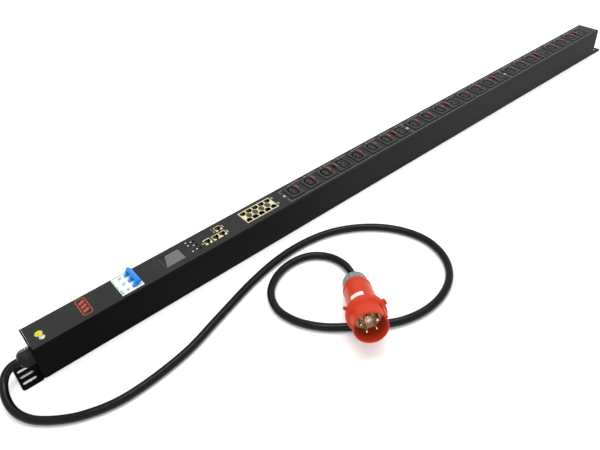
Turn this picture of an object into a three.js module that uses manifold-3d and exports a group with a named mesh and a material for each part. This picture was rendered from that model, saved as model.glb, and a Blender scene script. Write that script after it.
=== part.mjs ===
// Vertical rack power strip: a steel channel with a breaker, a display, data jacks, 24 locking outlets and a
// free mains lead that ends in a five-pin plug. Millimetres, +Z up. The strip lies on its back, its front
// cover up; +X runs from the inlet end to the far end, and the origin is under the middle of the strip.

import * as THREE from "three";
import { mergeVertices } from "three/addons/utils/BufferGeometryUtils.js";
import Module from "manifold-3d";

const wasm = await Module();
wasm.setup();

// ---- driving dimensions ---------------------------------------------------------------------------------
const GAP = 0.3; // clearance kept between touching pieces

const CASE_LENGTH = 1720;
const CASE_WIDTH = 62.5;
const CASE_HEIGHT = 77;
const SHEET = 1.5; // steel of the channel and of the cover
const COVER_DEPTH = 11; // how far the cover's lips fold down the sides
const SEAM = 0.5; // line between the cover's lip and the channel

const FOOT_REACH = 44.5; // foot plate beyond each end of the casing
const FOOT_THICKNESS = 2.5;
const END_PLATE = 3;
const FOOT_CORNER = 5;
const MOUNT_SLOT = { length: 25.3, width: 8, start: 4, pitch: 16 };

const CORD_DIAMETER = 15.5;
const GLAND_Z = 38.4;
const GLAND_FLATS = 31;
const GLAND_FLANGE = 6;
const GLAND_STEM_RADIUS = 12.2;
const GLAND_NUT_LENGTH = 18.4;

const BREAKER = { x: 194.9, y: 1.8, nose: 45, width: 54, body: 78, shoulder: 52, rail: 7.5 };
const POLE_PITCH = 18;
const HANDLE_PIVOT_Z = 70; // below the breaker's face
const HANDLE_LEAN = 44; // degrees from upright towards +X, as the breaker stands
const TIE_BAR = { half: 5, from: 16.5, to: 25.5, end: 4.5 }; // measured from the pivot, along the toggles

const DISPLAY = { x: 290.9, y: 0.2, length: 45, width: 34.8, recess: 0.8 };
const BUTTON_DIAMETER = 5;
const BUTTON_X = 346.3;
const BUTTON_ROWS = [13.8, 0.4, -13.4];
const BUTTON_PROUD = 0.9;

const SENSOR_JACK = { x: 403.5, y: 11.2, length: 15, width: 14.8 };
const SERIAL_JACK = { x: 367.2, y: -7.8, length: 15, width: 17 };
const JACK_PAIR = { x: 394.3, y: -8.6, length: 31.4, width: 15.6 };
const PORT_BLOCK = { x: 498.2, y: 0.6, length: 79.6, width: 39.4, pitch: 15.7, columns: 5, row: 11.2 };
const JACK_PROUD = 0.4;
const LATCH_OPEN = 10; // reach of a latch notch that opens through the side of its housing
const LATCH_CLOSED = 6.2;
const BOARD_Z = 52;

const OUTLET_GROUPS = 6;
const GROUP_PITCH = 188.6;
const FIRST_OUTLET = 590.6;
const C13_PITCH = 46.8;
const C19_OFFSET = 143.9; // from the first outlet of a group to its large one
const BEZEL_PROUD = 1.6;
const BEZEL_WIDTH = 41;
const WINDOW_GAP = 1.1; // between a bezel and the cover around it
const BANK_FLOOR = 26.3;
const BANK_WIDTH = 50;
const SOCKET_DEPTH = 13;
const C13 = { length: 17.3, width: 28.7, groove: 2.6, chamfer: 5.4, near: 15, far: 18.5, tab: 14 };
const C19 = { length: 21, width: 31.6, groove: 2.4, chamfer: 1.4, near: 22.5, far: 14.5, tab: -17 };
const TAB = { length: 5.6, width: 14.5, y: 4.5, travel: 2, proud: 2.8, depth: 7 };

const EARTH_SCREW = { x: 23, y: -16, head: 4.6, thread: 2.4 };

const PLUG = { x: 538.5, y: -246, z: 22.2, azimuth: -122.4, elevation: 17.4, length: 168 };
const PIN_CIRCLE = 15.4;
const PIN_TURN = -24; // angle of the first pin about the plug's axis
const EARTH_PIN = 2; // which of the five pins is the thick one

// Centre line of the lead from the gland to the plug's rear, as it lies on the floor.
const CORD_POINTS = [
  [-28.6, 0, 38.4], [-40, -0.3, 38.1], [-53.2, -5.6, 34.8], [-63.8, -17, 29], [-70.2, -33.5, 22.8],
  [-72.4, -51.5, 17], [-70, -70.5, 12], [-62, -89.5, 8.8], [-49, -108, 7.9], [-22, -132, 7.9],
  [15, -153.5, 7.9],
  [80, -170.5, 7.9], [205, -160.5, 7.9], [300, -131, 7.9], [400, -99.5, 7.9], [480, -83.5, 7.9],
  [550, -83, 7.9], [610, -96.5, 7.9], [662, -125.5, 7.9], [702, -165, 7.9], [727, -211, 7.9],
  [735.5, -260, 7.9], [722, -313, 7.9], [690, -353, 7.9], [645, -375.5, 7.9], [595, -381, 7.9],
  [545, -370, 7.9], [500, -343.5, 7.9], [459, -312, 7.9], [424, -278, 7.9], [399, -235, 7.9],
  [392.5, -190, 7.9], [409.5, -148, 7.9], [446, -120.5, 7.9], [490, -111.5, 7.9], [531, -122, 7.9],
  [557.5, -152, 7.9], [564, -188.3, 8.8], [555.6, -219.1, 12.3], [538.65, -245.75, 22.1],
];
const CORD_STEPS = 78;
const CORD_SIDES = 10;

// ---- helpers --------------------------------------------------------------------------------------------
function toSolid(geometry) {
  const bare = geometry.clone();
  bare.deleteAttribute("normal");
  bare.deleteAttribute("uv");
  const merged = mergeVertices(bare, 1e-4);
  return new wasm.Manifold(new wasm.Mesh({
    numProp: 3,
    vertProperties: new Float32Array(merged.attributes.position.array),
    triVerts: new Uint32Array(merged.index.array),
  }));
}

function toGeometry(solid) {
  const { vertProperties, triVerts } = solid.getMesh();
  const geometry = new THREE.BufferGeometry();
  geometry.setAttribute("position", new THREE.BufferAttribute(new Float32Array(vertProperties), 3));
  geometry.setIndex(new THREE.BufferAttribute(new Uint32Array(triVerts), 1));
  geometry.computeVertexNormals();
  return geometry;
}

const join = (...geometries) => geometries.map(toSolid).reduce((sum, piece) => sum.add(piece));
const cut = (geometry, ...tools) => toGeometry(tools.map(toSolid).reduce((rest, tool) => rest.subtract(tool),
  toSolid(geometry)));
const fuse = (...geometries) => toGeometry(join(...geometries));

function box(x0, x1, y0, y1, z0, z1) {
  const geometry = new THREE.BoxGeometry(x1 - x0, y1 - y0, z1 - z0);
  return geometry.translate((x0 + x1) / 2, (y0 + y1) / 2, (z0 + z1) / 2);
}

const outline = (points) => new THREE.Shape(points.map(([x, y]) => new THREE.Vector2(x, y)));

function rounded(x0, x1, y0, y1, radii) {
  // Rectangle whose corners, counted from (x0, y0) counter-clockwise, have the given radii.
  const [a, b, c, d] = radii;
  const shape = new THREE.Shape();
  shape.moveTo(x0 + a, y0).lineTo(x1 - b, y0);
  if (b) shape.absarc(x1 - b, y0 + b, b, -Math.PI / 2, 0);
  shape.lineTo(x1, y1 - c);
  if (c) shape.absarc(x1 - c, y1 - c, c, 0, Math.PI / 2);
  shape.lineTo(x0 + d, y1);
  if (d) shape.absarc(x0 + d, y1 - d, d, Math.PI / 2, Math.PI);
  shape.lineTo(x0, y0 + a);
  if (a) shape.absarc(x0 + a, y0 + a, a, Math.PI, Math.PI * 1.5);
  return shape;
}

function upright(shape, z0, z1, curveSegments = 4) {
  // An outline in X and Y, raised from z0 to z1.
  const geometry = new THREE.ExtrudeGeometry(shape, { depth: z1 - z0, bevelEnabled: false, curveSegments });
  return geometry.translate(0, 0, z0);
}

function lengthwise(shape, x0, x1, curveSegments = 4) {
  // A section in Y and Z, run along X.
  const geometry = new THREE.ExtrudeGeometry(shape, { depth: x1 - x0, bevelEnabled: false, curveSegments });
  const axes = [[0, 1, 0], [0, 0, 1], [1, 0, 0]].map((axis) => new THREE.Vector3(...axis));
  return geometry.applyMatrix4(new THREE.Matrix4().makeBasis(...axes)).translate(x0, 0, 0);
}

function crosswise(shape, y0, y1, curveSegments = 4) {
  // A section in X and Z, run along Y.
  const geometry = new THREE.ExtrudeGeometry(shape, { depth: y1 - y0, bevelEnabled: false, curveSegments });
  const axes = [[1, 0, 0], [0, 0, 1], [0, -1, 0]].map((axis) => new THREE.Vector3(...axis));
  return geometry.applyMatrix4(new THREE.Matrix4().makeBasis(...axes)).translate(0, y1, 0);
}

function polygonPoints(radius, sides, turn = 0) {
  const step = (2 * Math.PI) / sides;
  return Array.from({ length: sides }, (_, i) => {
    const angle = turn + i * step;
    return [radius * Math.cos(angle), radius * Math.sin(angle)];
  });
}

function rod(radius, z0, z1, sides = 16) {
  const geometry = new THREE.CylinderGeometry(radius, radius, z1 - z0, sides);
  return geometry.rotateX(Math.PI / 2).translate(0, 0, (z0 + z1) / 2);
}

function turned(profile, sides = 24) {
  // A profile of [radius, distance along +Z], turned about Z.
  const points = profile.map(([radius, z]) => new THREE.Vector2(radius, z));
  return new THREE.LatheGeometry(points, sides).rotateX(Math.PI / 2);
}

const finish = (color, roughness, metalness = 0) => ({ color, roughness, metalness });
const FINISHES = {
  powderCoat: finish(0x3b3c3c, 0.55, 0.2),
  blackNylon: finish(0x1b1b1c, 0.45),
  blackRubber: finish(0x141415, 0.4),
  breakerWhite: finish(0xf1f2ee, 0.35),
  toggleBlue: finish(0x1769c4, 0.35),
  displayGlass: finish(0x7d7b78, 0.1),
  boardGreen: finish(0x1f5b35, 0.5),
  jackCream: finish(0xe9e3c8, 0.4),
  socketBlack: finish(0x2c2d2c, 0.5),
  tabRed: finish(0x9c2f26, 0.4),
  plugRed: finish(0xd8371f, 0.35),
  nutGrey: finish(0x9b9d9c, 0.5),
  carrierGrey: finish(0x8b8272, 0.5),
  nickel: finish(0xc9c6bf, 0.25, 1),
  copper: finish(0xb87444, 0.35, 1),
  insulation: finish(0xd8d2c0, 0.5),
};

const strip = new THREE.Group();
strip.position.x = -CASE_LENGTH / 2; // pieces of the strip are placed from its inlet end

function place(parent, name, geometry, look) {
  const mesh = new THREE.Mesh(geometry, new THREE.MeshStandardMaterial(FINISHES[look]));
  mesh.name = name;
  parent.add(mesh);
  return mesh;
}

// ---- where the outlets are ------------------------------------------------------------------------------
const groups = Array.from({ length: OUTLET_GROUPS }, (_, g) => {
  const start = FIRST_OUTLET + g * GROUP_PITCH;
  const small = [0, 1, 2].map((i) => ({ x: start + i * C13_PITCH, kind: C13 }));
  return [...small, { x: start + C19_OFFSET, kind: C19 }];
});
const outlets = groups.flat();

// ---- casing ---------------------------------------------------------------------------------------------
const half = CASE_WIDTH / 2;
const coverTop = CASE_HEIGHT;
const coverUnder = CASE_HEIGHT - SHEET;
const channelTop = CASE_HEIGHT - COVER_DEPTH - SEAM;

function uSection(z0, z1, floorUp) {
  // A channel's section: open above when floorUp is false, open below when it is true.
  const inner = half - SHEET;
  const web = floorUp ? z1 - SHEET : z0 + SHEET;
  const [rim, back] = floorUp ? [z0, z1] : [z1, z0];
  const points = [
    [-half, rim], [-inner, rim], [-inner, web], [inner, web], [inner, rim], [half, rim], [half, back],
    [-half, back],
  ];
  return outline(floorUp ? points : points.reverse());
}

// The channel carries a hat rail for the breaker and four posts for the controller board.
const railTop = SHEET + BREAKER.rail;
const boardX = [270, 535];
const postTop = BOARD_Z - GAP;
const posts = boardX.flatMap((x) => [-21, 21].map((y) => (
  box(x - 3, x + 3, y - 3, y + 3, SHEET / 2, postTop))));
place(strip, "base_channel", fuse(
  lengthwise(uSection(0, channelTop, false), 0, CASE_LENGTH),
  box(BREAKER.x - 17.5, BREAKER.x + 17.5, -29, 29, SHEET / 2, railTop),
  ...posts,
), "powderCoat");

function window(area, gap) {
  const { x, y, length, width } = area;
  return box(x - length / 2 - gap, x + length / 2 + gap, y - width / 2 - gap, y + width / 2 + gap,
    coverUnder - 1, coverTop + 1);
}

const buttonHoles = BUTTON_ROWS.map((y) => rod(BUTTON_DIAMETER / 2 + GAP, coverUnder - 1, coverTop + 1, 12)
  .translate(BUTTON_X, y, 0));
const outletWindows = outlets.map(({ x, kind }) => box(x - kind.near - WINDOW_GAP, x + kind.far + WINDOW_GAP,
  -BEZEL_WIDTH / 2 - WINDOW_GAP, BEZEL_WIDTH / 2 + WINDOW_GAP, coverUnder - 1, coverTop + 1));
place(strip, "front_cover", cut(
  lengthwise(uSection(channelTop + SEAM, coverTop, true), 0, CASE_LENGTH),
  window({ ...BREAKER, length: BREAKER.nose }, 0.4),
  window(DISPLAY, 0),
  ...[SENSOR_JACK, SERIAL_JACK, JACK_PAIR, PORT_BLOCK].map((area) => window(area, GAP)),
  ...buttonHoles,
  ...outletWindows,
  rod(EARTH_SCREW.thread + GAP, coverUnder - 1, coverTop + 1, 12).translate(EARTH_SCREW.x, EARTH_SCREW.y, 0),
), "powderCoat");

function endBracket(withGlandHole) {
  // An end plate with a slotted foot, drawn for the inlet end: the casing starts at x = 0.
  const plateBack = -GAP - END_PLATE;
  const plate = box(plateBack, -GAP, -half, half, 0, coverTop - 0.5);
  const footOutline = rounded(-FOOT_REACH, plateBack + 1, -half, half, [FOOT_CORNER, 0, 0, FOOT_CORNER]);
  const foot = upright(footOutline, 0, FOOT_THICKNESS, 3);
  const slots = [-1, 0, 1].map((row) => {
    const start = -FOOT_REACH + MOUNT_SLOT.start;
    const r = MOUNT_SLOT.width / 2;
    const y = row * MOUNT_SLOT.pitch;
    const shape = rounded(start, start + MOUNT_SLOT.length, y - r, y + r, [r, r, r, r]);
    return upright(shape, -1, FOOT_THICKNESS + 1, 3);
  });
  // Relief notches where the foot folds up into the end plate.
  const notches = [-1, 1].map((side) => {
    const edge = side * half;
    return box(plateBack - 3.5, plateBack, Math.min(edge, edge - side * 2.5) - (side < 0 ? 1 : 0),
      Math.max(edge, edge - side * 2.5) + (side > 0 ? 1 : 0), -1, FOOT_THICKNESS + 1);
  });
  const glandHole = rod(GLAND_STEM_RADIUS + GAP, -10, 10, 24).rotateY(Math.PI / 2).translate(0, 0, GLAND_Z);
  return cut(fuse(plate, foot), ...slots, ...notches, ...(withGlandHole ? [glandHole] : []));
}

place(strip, "inlet_end_bracket", endBracket(true), "powderCoat");
const farBracket = place(strip, "far_end_bracket", endBracket(false), "powderCoat");
farBracket.position.x = CASE_LENGTH;
farBracket.rotation.z = Math.PI;

// ---- cable gland ----------------------------------------------------------------------------------------
const flangeFace = -END_PLATE - 2 * GAP;
const nutFace = flangeFace - GLAND_FLANGE;
const hexRadius = GLAND_FLATS / Math.sqrt(3);
const hexagon = (radius) => outline(polygonPoints(radius, 6, Math.PI / 6));
place(strip, "gland_body", fuse(
  lengthwise(hexagon(hexRadius), nutFace, flangeFace),
  rod(GLAND_STEM_RADIUS, 0, 17, 24).rotateY(Math.PI / 2).translate(flangeFace - 1, 0, 0),
  lengthwise(hexagon(hexRadius - 1.5), GAP, GAP + 5),
), "blackNylon").position.z = GLAND_Z;

const domeLength = 7.5;
const domeEnd = CORD_DIAMETER / 2 + 1.6;
const dome = turned([
  [0, 0], [hexRadius - 1.8, 0], [hexRadius - 2.4, 2.5], [hexRadius - 4.4, 5], [domeEnd, domeLength],
  [0, domeLength],
], 18).rotateY(-Math.PI / 2);
const nutEnd = nutFace - GAP - GLAND_NUT_LENGTH + domeLength;
place(strip, "gland_dome_nut", fuse(
  lengthwise(hexagon(hexRadius), nutEnd, nutFace - GAP),
  dome.translate(nutEnd + 0.01, 0, 0),
), "blackNylon").position.z = GLAND_Z;

// ---- earth screw on the cover ---------------------------------------------------------------------------
place(strip, "earth_screw", fuse(
  rod(EARTH_SCREW.head, coverTop + GAP, coverTop + 3, 16),
  rod(EARTH_SCREW.thread, coverTop - 14, coverTop + 1, 12),
), "nickel").position.set(EARTH_SCREW.x, EARTH_SCREW.y, 0);

// ---- breaker --------------------------------------------------------------------------------------------
// The pivot is the middle of the nose; each pole has a slot there for its toggle.
const breakerFloor = railTop + GAP;
const noseHalf = BREAKER.nose / 2;
const bodyHalf = BREAKER.body / 2;
const toggleWidth = 6.6;
const toggleSlot = (pole) => box(-13, 13, pole - toggleWidth / 2 - 0.6, pole + toggleWidth / 2 + 0.6,
  HANDLE_PIVOT_Z - 9, coverTop + 1);
const poles = [-POLE_PITCH, 0, POLE_PITCH];
const breakerCase = crosswise(outline([
  [-bodyHalf, breakerFloor], [bodyHalf, breakerFloor], [bodyHalf, BREAKER.shoulder],
  [noseHalf, BREAKER.shoulder + 4], [noseHalf, coverTop], [-noseHalf, coverTop],
  [-noseHalf, BREAKER.shoulder + 4], [-bodyHalf, BREAKER.shoulder],
]), -BREAKER.width / 2, BREAKER.width / 2);
place(strip, "breaker_case", cut(breakerCase, ...poles.map(toggleSlot)), "breakerWhite")
  .position.set(BREAKER.x, BREAKER.y, 0);

// Each toggle is a drum with an arm; a bar across the arms ties the three poles together.
const lean = THREE.MathUtils.degToRad(HANDLE_LEAN);
const tieEnd = POLE_PITCH + TIE_BAR.end;
const tie = box(-TIE_BAR.half, TIE_BAR.half, -tieEnd, tieEnd, TIE_BAR.from, TIE_BAR.to);
const toggles = poles.flatMap((pole) => [
  rod(6.5, -toggleWidth / 2, toggleWidth / 2, 14).rotateX(Math.PI / 2).translate(0, pole, 0),
  box(-2.6, 2.6, pole - toggleWidth / 2, pole + toggleWidth / 2, 3, TIE_BAR.from + 1),
]);
const handle = place(strip, "breaker_handle", fuse(tie, ...toggles), "toggleBlue");
handle.position.set(BREAKER.x, BREAKER.y, HANDLE_PIVOT_Z);
handle.rotation.y = lean;

// ---- display, buttons and controller board --------------------------------------------------------------
// The window's pane fills its opening, and a flange holds it under the cover.
function displaySlab(margin, z0, z1) {
  const [l, w] = [DISPLAY.length / 2 + margin, DISPLAY.width / 2 + margin];
  return box(-l, l, -w, w, z0, z1);
}
const flangeTop = coverUnder - GAP;
place(strip, "display_window", fuse(
  displaySlab(3, flangeTop - 8, flangeTop),
  displaySlab(-GAP, flangeTop - 1, coverTop - DISPLAY.recess),
), "displayGlass").position.set(DISPLAY.x, DISPLAY.y, 0);

place(strip, "controller_board", box(264, 541, -24.5, 24.5, BOARD_Z, BOARD_Z + 1.6), "boardGreen");

BUTTON_ROWS.forEach((y, row) => {
  const button = fuse(
    rod(BUTTON_DIAMETER / 2, coverTop - 8, coverTop + BUTTON_PROUD, 12),
    rod(BUTTON_DIAMETER / 2 + 1.6, coverTop - 8, coverUnder - 1.6, 12),
  );
  place(strip, `menu_button_${row + 1}`, button, "blackNylon").position.set(BUTTON_X, y, 0);
});

// ---- data jacks -----------------------------------------------------------------------------------------
// A jack's cavity, with the stepped notch for the plug's latch on the side that latch (+1 or -1) names.
function jackCavity(x, y, latch, notch) {
  const depth = 14;
  const top = coverTop + JACK_PROUD;
  const mouth = [
    [-5.9, -3.6], [5.9, -3.6], [5.9, 3], [3.2, 3], [3.2, 4.8], [1.7, 4.8], [1.7, notch], [-1.7, notch],
    [-1.7, 4.8], [-3.2, 4.8], [-3.2, 3], [-5.9, 3],
  ];
  const shape = outline(mouth.map(([u, v]) => [latch * u, latch * (v - 1)]));
  return upright(shape, top - depth, top + 1).translate(x, y, 0);
}

function jack(area, notch, cavities) {
  const { length, width } = area;
  const housing = box(-length / 2, length / 2, -width / 2, width / 2, BOARD_Z + 1.6 + GAP,
    coverTop + JACK_PROUD);
  const geometry = cut(housing, ...cavities.map(([x, y, latch]) => jackCavity(x, y, latch, notch)));
  return geometry.translate(area.x, area.y, 0);
}

place(strip, "sensor_jack", jack(SENSOR_JACK, LATCH_OPEN, [[0, 0, -1]]), "jackCream");
place(strip, "serial_jack", jack(SERIAL_JACK, LATCH_OPEN, [[0, 0, -1]]), "jackCream");
place(strip, "network_jack_pair", jack(JACK_PAIR, LATCH_OPEN, [[-7.8, 0, -1], [7.8, 0, -1]]), "jackCream");
const columns = Array.from({ length: PORT_BLOCK.columns }, (_, i) => (i - 2) * PORT_BLOCK.pitch);
const ports = columns.flatMap((x) => [[x, PORT_BLOCK.row, -1], [x, -PORT_BLOCK.row, 1]]);
place(strip, "port_jack_block", jack(PORT_BLOCK, LATCH_CLOSED, ports), "jackCream");

// ---- outlets --------------------------------------------------------------------------------------------
const bezelTop = coverTop + BEZEL_PROUD;

function socketOutline(length, width, chamfer) {
  // A socket's outline with its two corners towards -X cut off.
  const [l, w] = [length / 2, width / 2];
  return [[l, -w], [l, w], [-l + chamfer, w], [-l, w - chamfer], [-l, -w + chamfer], [-l + chamfer, -w]];
}

function socketGroove({ length, width, groove, chamfer }) {
  const ring = outline(socketOutline(length, width, chamfer));
  const tongue = socketOutline(length - 2 * groove, width - 2 * groove, chamfer * 0.75).reverse();
  ring.holes.push(new THREE.Path(tongue.map(([x, y]) => new THREE.Vector2(x, y))));
  return upright(ring, bezelTop - SOCKET_DEPTH, bezelTop + 1);
}

function contactSlots(kind) {
  // [x, y, length along x, width along y] of the two poles and the earth.
  const small = [[2.2, 7.3, 4.6, 2], [2.2, -7.3, 4.6, 2], [-2.2, 0, 4.6, 2]];
  const large = [[2.6, 7, 2.4, 6.8], [2.6, -7, 2.4, 6.8], [-3.6, 0, 2.4, 6.8]];
  return (kind === C13 ? small : large).map(([x, y, l, w]) =>
    box(x - l / 2, x + l / 2, y - w / 2, y + w / 2, bezelTop - SOCKET_DEPTH + 1, bezelTop + 1));
}

const tabOut = (kind) => Math.sign(kind.tab); // a release tab moves away from its socket

function tabPocket(kind) {
  const inner = TAB.length / 2 + GAP;
  const outer = inner + TAB.travel;
  const [lo, hi] = tabOut(kind) > 0 ? [inner, outer] : [outer, inner];
  const side = TAB.width / 2 + GAP;
  return box(kind.tab - lo, kind.tab + hi, TAB.y - side, TAB.y + side, bezelTop - TAB.depth - GAP,
    bezelTop + 1);
}

groups.forEach((group, g) => {
  const first = group[0];
  const last = group[3];
  const body = box(first.x - 18, last.x + 17.5, -BANK_WIDTH / 2, BANK_WIDTH / 2, BANK_FLOOR,
    coverUnder - GAP);
  const bezels = group.map(({ x, kind }) => (
    box(x - kind.near, x + kind.far, -BEZEL_WIDTH / 2, BEZEL_WIDTH / 2, coverUnder - 2, bezelTop)));
  const openings = group.flatMap(({ x, kind }) => [socketGroove(kind), ...contactSlots(kind), tabPocket(kind)]
    .map((tool) => tool.translate(x, 0, 0)));
  place(strip, `outlet_bank_${g + 1}`, cut(fuse(body, ...bezels), ...openings), "socketBlack");
});

const releaseTab = crosswise(outline([
  [-TAB.length / 2, -TAB.depth], [TAB.length / 2, -TAB.depth], [TAB.length / 2, TAB.proud - 1.6],
  [TAB.length / 2 - 1.4, TAB.proud], [-TAB.length / 2 + 1.4, TAB.proud], [-TAB.length / 2, TAB.proud - 1.6],
]), -TAB.width / 2, TAB.width / 2);
outlets.forEach(({ x, kind }, i) => {
  const name = `release_tab_${String(i + 1).padStart(2, "0")}`;
  place(strip, name, releaseTab.clone(), "tabRed").position.set(x + kind.tab, TAB.y, bezelTop);
});

// ---- busbars under the outlets --------------------------------------------------------------------------
const barFloor = SHEET + GAP;
const barTop = BANK_FLOOR - GAP;
place(strip, "power_busbar", lengthwise(outline([
  [-19, barFloor], [19, barFloor], [19, barFloor + 3], [3, barFloor + 3], [3, barTop - 4], [15, barTop - 4],
  [15, barTop], [-15, barTop], [-15, barTop - 4], [-3, barTop - 4], [-3, barFloor + 3], [-19, barFloor + 3],
]), 565, CASE_LENGTH - 8), "insulation");
place(strip, "earth_busbar", box(565, CASE_LENGTH - 8, 21, 28, barFloor, barFloor + 3), "copper");

// ---- five-pin plug --------------------------------------------------------------------------------------
// Drawn along +Z from its rear, then laid over the lead with its mouth a little raised.
const plug = new THREE.Group();
plug.position.set(PLUG.x, PLUG.y, PLUG.z);
plug.rotation.order = "ZYX";
plug.rotation.z = THREE.MathUtils.degToRad(PLUG.azimuth);
plug.rotation.y = THREE.MathUtils.degToRad(90 - PLUG.elevation);
strip.add(plug);

const nutLength = 26;
const collarStart = 118;
place(plug, "plug_gland_nut", turned([
  [0, 0], [13, 0], [22, 5], [24.6, 9], [24.6, 24.5], [22, nutLength], [0, nutLength],
], 24), "nutGrey");
place(plug, "plug_housing", turned([
  [0, nutLength + GAP], [20.5, nutLength + GAP], [20.5, 30], [25.5, 31], [27.4, 34], [27.6, 44], [27, 46],
  [27.2, 60], [28.4, 85], [30, 104], [32.5, collarStart - GAP], [0, collarStart - GAP],
], 24), "plugRed");

const shroudOuter = 31;
const shroudInner = 28.2;
const shroudTube = turned([
  [shroudInner, collarStart], [36, collarStart], [37, collarStart + 3], [36.6, collarStart + 12],
  [32, collarStart + 15], [shroudOuter, collarStart + 17], [shroudOuter, PLUG.length],
  [shroudInner, PLUG.length], [shroudInner, collarStart],
], 32);
// A key rib along the shroud, a lug on the collar in line with it, and a small catch on the other side.
const keyTurn = THREE.MathUtils.degToRad(PIN_TURN + 72 * EARTH_PIN);
const rib = box(shroudOuter - 1.5, shroudOuter + 2.6, -3.5, 3.5, collarStart + 10, PLUG.length - 6);
const lug = box(33, 41.5, -5, 5, collarStart + 1, collarStart + 10);
const latch = box(33, 43.5, -3, 3, collarStart + 3, collarStart + 9);
place(plug, "plug_shroud", fuse(shroudTube, rib.rotateZ(keyTurn), lug.rotateZ(keyTurn),
  latch.rotateZ(keyTurn + Math.PI * 0.69)), "plugRed");

const carrierTop = collarStart + 9;
place(plug, "plug_pin_carrier", rod(shroudInner - GAP, collarStart, carrierTop, 24), "carrierGrey");
const pinNames = ["phase_1", "phase_2", "earth", "neutral", "phase_3"];
pinNames.forEach((pinName, i) => {
  const thick = i === EARTH_PIN;
  const radius = thick ? 3.5 : 2.5;
  const tip = PLUG.length - (thick ? 7 : 9);
  const turn = THREE.MathUtils.degToRad(PIN_TURN + 72 * i);
  place(plug, `plug_pin_${pinName}`, turned([
    [0, carrierTop + GAP], [radius, carrierTop + GAP], [radius, tip - 2], [radius * 0.55, tip], [0, tip],
  ], 12), "nickel").position.set(PIN_CIRCLE * Math.cos(turn), PIN_CIRCLE * Math.sin(turn), 0);
});

// ---- mains lead -----------------------------------------------------------------------------------------
const stations = CORD_POINTS.map((point) => new THREE.Vector3(...point));
const route = new THREE.CatmullRomCurve3(stations, false, "centripetal");
const cordSection = outline(polygonPoints(CORD_DIAMETER / 2, CORD_SIDES));
place(strip, "mains_cord", new THREE.ExtrudeGeometry(cordSection, {
  steps: CORD_STEPS, extrudePath: route, bevelEnabled: false,
}), "blackRubber");

const part = new THREE.Group();
part.add(strip);

export default part;
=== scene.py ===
"""Looks of a rack power strip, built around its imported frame.

Unless it says otherwise, a length here is in millimetres in the strip's own frame: x from the inlet end of
the casing, y from its middle line, z from the surface that it lies on. STRIP turns that into the frame's
metres.
"""

import math

import bmesh
import bpy
from mathutils import Matrix, Quaternion, Vector


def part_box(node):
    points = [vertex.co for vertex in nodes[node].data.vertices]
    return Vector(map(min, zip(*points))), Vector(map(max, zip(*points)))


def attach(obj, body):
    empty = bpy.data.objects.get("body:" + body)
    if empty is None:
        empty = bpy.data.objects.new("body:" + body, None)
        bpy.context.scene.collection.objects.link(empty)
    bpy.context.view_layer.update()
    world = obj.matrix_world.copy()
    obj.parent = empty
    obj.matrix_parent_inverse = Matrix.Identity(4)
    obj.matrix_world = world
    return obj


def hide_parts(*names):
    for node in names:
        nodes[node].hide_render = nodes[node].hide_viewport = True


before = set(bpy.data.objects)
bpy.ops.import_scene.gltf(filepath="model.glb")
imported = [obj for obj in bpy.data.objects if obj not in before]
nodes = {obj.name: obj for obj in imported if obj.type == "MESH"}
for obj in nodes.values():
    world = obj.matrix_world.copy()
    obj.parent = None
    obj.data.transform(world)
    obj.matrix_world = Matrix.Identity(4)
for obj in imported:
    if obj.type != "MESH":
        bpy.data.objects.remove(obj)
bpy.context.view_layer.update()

MM = 0.001
INLET_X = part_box("front_cover")[0].x
STRIP = Matrix.Translation((INLET_X, 0, 0)) @ Matrix.Scale(MM, 4)

# ---- driving sizes -----------------------------------------------------------
GAP = 0.3  # clearance between parts
HALF_WIDTH = (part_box("front_cover")[1].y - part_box("front_cover")[0].y) / 2 / MM
LENGTH = (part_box("front_cover")[1].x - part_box("front_cover")[0].x) / MM
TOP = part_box("front_cover")[1].z / MM
LIP_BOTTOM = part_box("front_cover")[0].z / MM
CHANNEL_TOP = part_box("base_channel")[1].z / MM
SHEET = 1.5
FOLD = 2.0  # outer radius of a fold
PRINT_SINK = 0.02  # how far a print reaches into the face that it lies on

CORD_DIAMETER = 15.5
GLAND_Z = 38.4
GLAND_FLATS = 31.0

FOOT_REACH, FOOT_THICK, PLATE_THICK = 44.5, 2.5, 3.0
FOOT_SLOT = dict(start=4.0, length=25.3, width=8.0, rows=(-16, 0, 16))

SCREW_X, SCREW_Y = 23.0, -16.0
STICKER_X, STICKER_Y = 21.0, -3.0

BREAKER_X, BREAKER_Y = 194.9, 1.8
POLE_PITCH = 18.0
PIVOT_Z = 70.0
HANDLE_LEAN = 44.0
POLES_Y = (-POLE_PITCH, 0.0, POLE_PITCH)

# middle x, middle y, length and width of what the cover has windows for
DISPLAY = (290.9, 0.2, 45.0, 34.8)
SENSOR_JACK = (403.5, 11.2, 15.0, 14.8)
SERIAL_JACK = (367.2, -7.8, 15.0, 17.0)
JACK_PAIR = (394.3, -8.6, 31.4, 15.6)
PORT_BLOCK = (498.2, 0.6, 79.6, 39.4)
BUTTON_X = 346.3
BUTTON_ROWS = (13.8, 0.4, -13.4)
PORT_PITCH, PORT_ROW = 15.7, 11.2
JACK_TOP = TOP + 0.4
JACK_BOTTOM = 53.9

GROUPS, GROUP_PITCH, FIRST_OUTLET = 6, 188.6, 590.6
C13_PITCH, C19_OFFSET = 46.8, 143.9
BEZEL_TOP = TOP + 1.6
BEZEL_WIDTH = 41.0
# socket, bezel from near to far, tab, where the cover's wide gap ends, and the tab's room past far
C13 = dict(length=18.3, width=29.5, groove=3.2, rounding=8.2, near=15.0, far=18.5, tab=14.0, notch=16.0,
           tab_room=0.45)
C19 = dict(length=21.6, width=32.2, groove=3.0, rounding=3.0, near=22.5, far=14.5, tab=-17.0, notch=11.0,
           tab_room=0.0)
TAB_LENGTH, TAB_WIDTH, TAB_Y = 5.6, 14.5, 4.5
TAB_PROUD, TAB_DEPTH, TAB_TRAVEL = 2.8, 7.0, 2.0

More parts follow.
